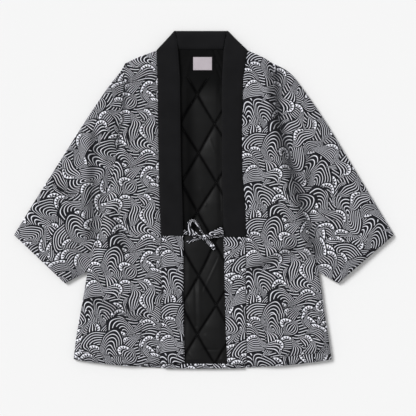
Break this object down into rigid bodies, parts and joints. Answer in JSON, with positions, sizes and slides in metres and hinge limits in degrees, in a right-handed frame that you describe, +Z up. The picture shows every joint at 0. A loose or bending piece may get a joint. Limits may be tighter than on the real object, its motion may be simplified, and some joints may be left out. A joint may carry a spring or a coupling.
{
  "type": "hanten jacket",
  "caption": "Padded short kimono-style jacket laid flat, wave print, black collar, quilted black lining, wide sleeves and a tied bow at the front.",
  "frame": {"origin": "middle of the jacket's outline, on the surface it lies on", "axes": "+X to the viewer's right across the sleeves, +Y from the hem to the collar, +Z up from the surface"},
  "size_m": [0.932, 0.829, 0.0302],
  "materials": {
    "print": "matt cotton printed in black and off-white waves",
    "black_cotton": "matt black cotton",
    "quilted_lining": "quilted polyester lining with a soft satin sheen",
    "woven_label": "white woven satin tape, left bare"
  },
  "bodies": {
    "root": {"back_body": "print", "back_hem_roll": "print", "front_left": "print", "front_right": "print", "pocket_left": "print", "pocket_right": "print", "sleeve_left": "print", "sleeve_right": "print", "lower_collar_left": "print", "lower_collar_right": "print", "tie_left": "print", "tie_right": "print", "bow_loop_left": "print", "bow_loop_right": "print", "bow_tail_left": "print", "bow_tail_right": "print", "bow_knot": "print", "over_collar_left": "black_cotton", "over_collar_right": "black_cotton", "over_collar_back": "black_cotton", "back_lining": "quilted_lining", "label": "woven_label"}
  },
  "joints": []
}
